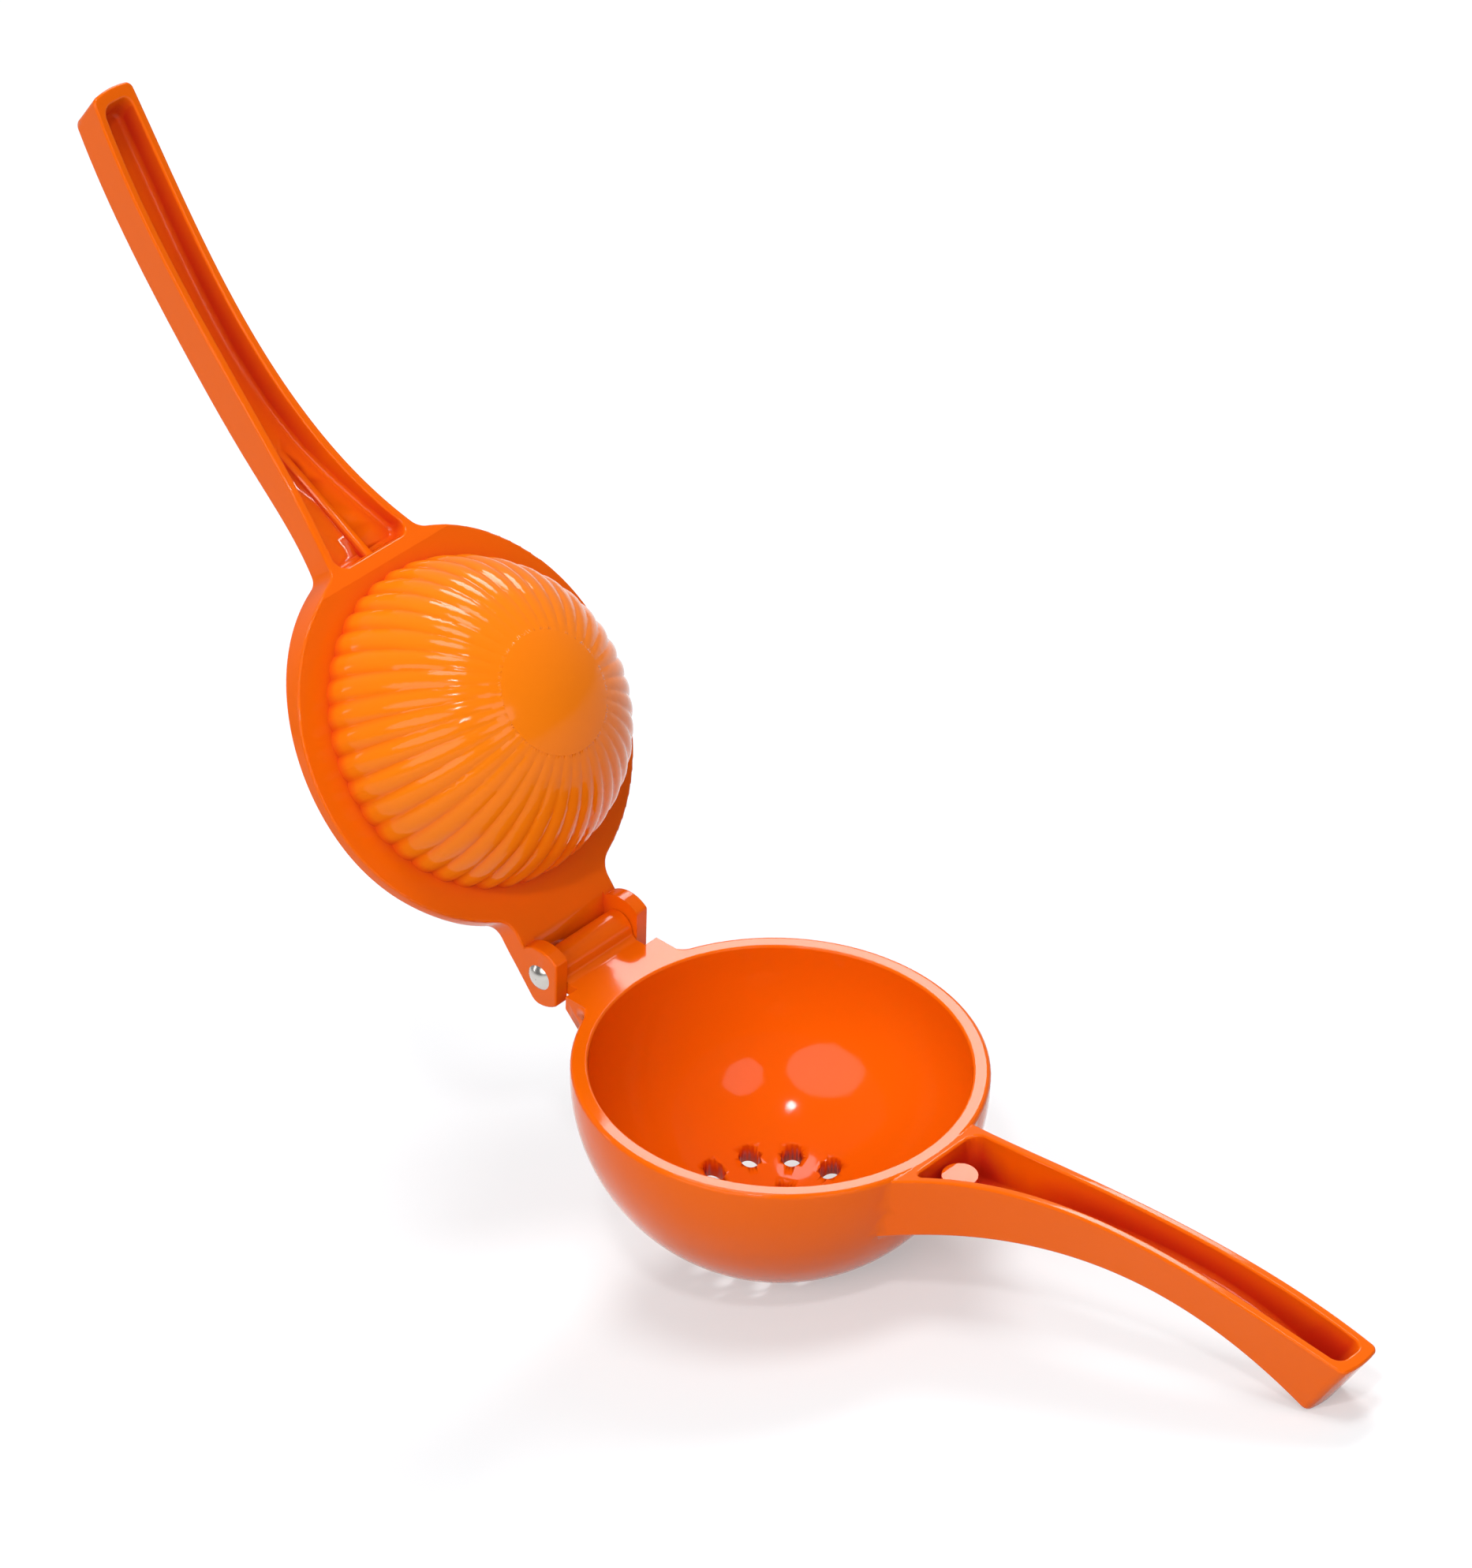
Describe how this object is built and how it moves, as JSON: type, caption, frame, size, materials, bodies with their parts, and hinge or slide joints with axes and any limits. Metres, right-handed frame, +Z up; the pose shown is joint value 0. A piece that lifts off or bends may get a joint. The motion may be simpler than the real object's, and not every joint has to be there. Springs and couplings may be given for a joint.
{
  "type": "hinged citrus squeezer",
  "caption": "Hand-held citrus press: a strainer bowl on a trough handle, and a hollow reeded dome on a second handle that swings down into the bowl about a rivet.",
  "frame": {"origin": "centre of the underside of the whole tool's bounding box, on the table it stands on, with the press arm swung fully open as pictured", "axes": "+X from the hinge towards the tip of the lower handle, +Y across the tool, +Z up from the table"},
  "size_m": [0.309, 0.0904, 0.2557],
  "materials": {
    "enamel": "glossy orange enamel on cast aluminium",
    "steel": "polished"
  },
  "bodies": {
    "bowl_arm": {"bowl_arm": "enamel"},
    "press_arm": {"press_arm": "enamel", "hinge_rivet": "steel"}
  },
  "joints": [
    {"name": "squeeze_hinge", "type": "hinge", "parent": "bowl_arm", "child": "press_arm", "pos_m": [-0.05448, 0, 0.06432], "axis": [0, 1, 0], "range_deg": [0, 129.4]}
  ]
}
